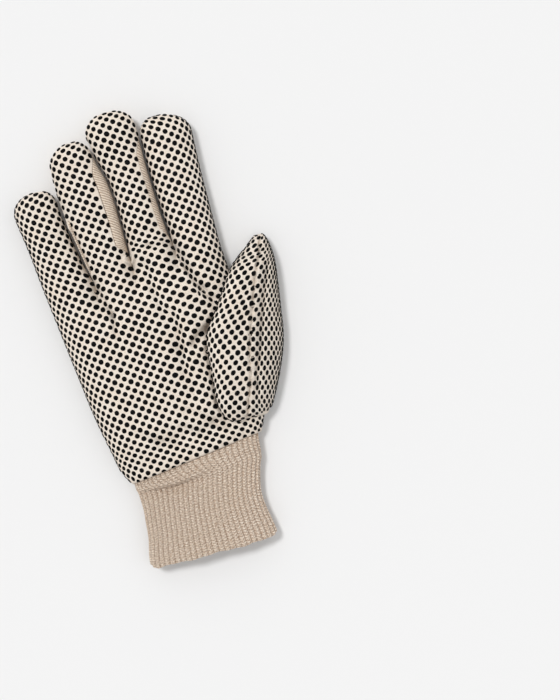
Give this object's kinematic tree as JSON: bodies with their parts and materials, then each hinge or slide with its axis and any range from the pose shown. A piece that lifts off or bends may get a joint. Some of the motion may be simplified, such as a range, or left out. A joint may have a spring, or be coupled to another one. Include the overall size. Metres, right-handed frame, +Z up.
{
  "type": "dotted cotton canvas work glove with a knit wrist",
  "caption": "Cotton canvas work glove lying palm up: raised dots over palm, thumb and fingers, plain twill back, set-in thumb and ribbed knit wrist.",
  "frame": {"origin": "centre of the bounding box, on the surface that the glove lies on", "axes": "+Y towards the fingertips, +X towards the thumb, +Z up out of the palm"},
  "size_m": [0.1381, 0.2604, 0.0315],
  "materials": {
    "dotted_canvas": "matt canvas",
    "plain_twill": "matt diagonal twill",
    "wrist_knit": "heathered rib knit"
  },
  "bodies": {
    "root": {"palm_piece": "dotted_canvas", "back_panel_ring_side": "plain_twill", "back_panel_middle_side": "plain_twill", "thumb": "dotted_canvas", "knit_wrist": "wrist_knit"}
  },
  "joints": []
}
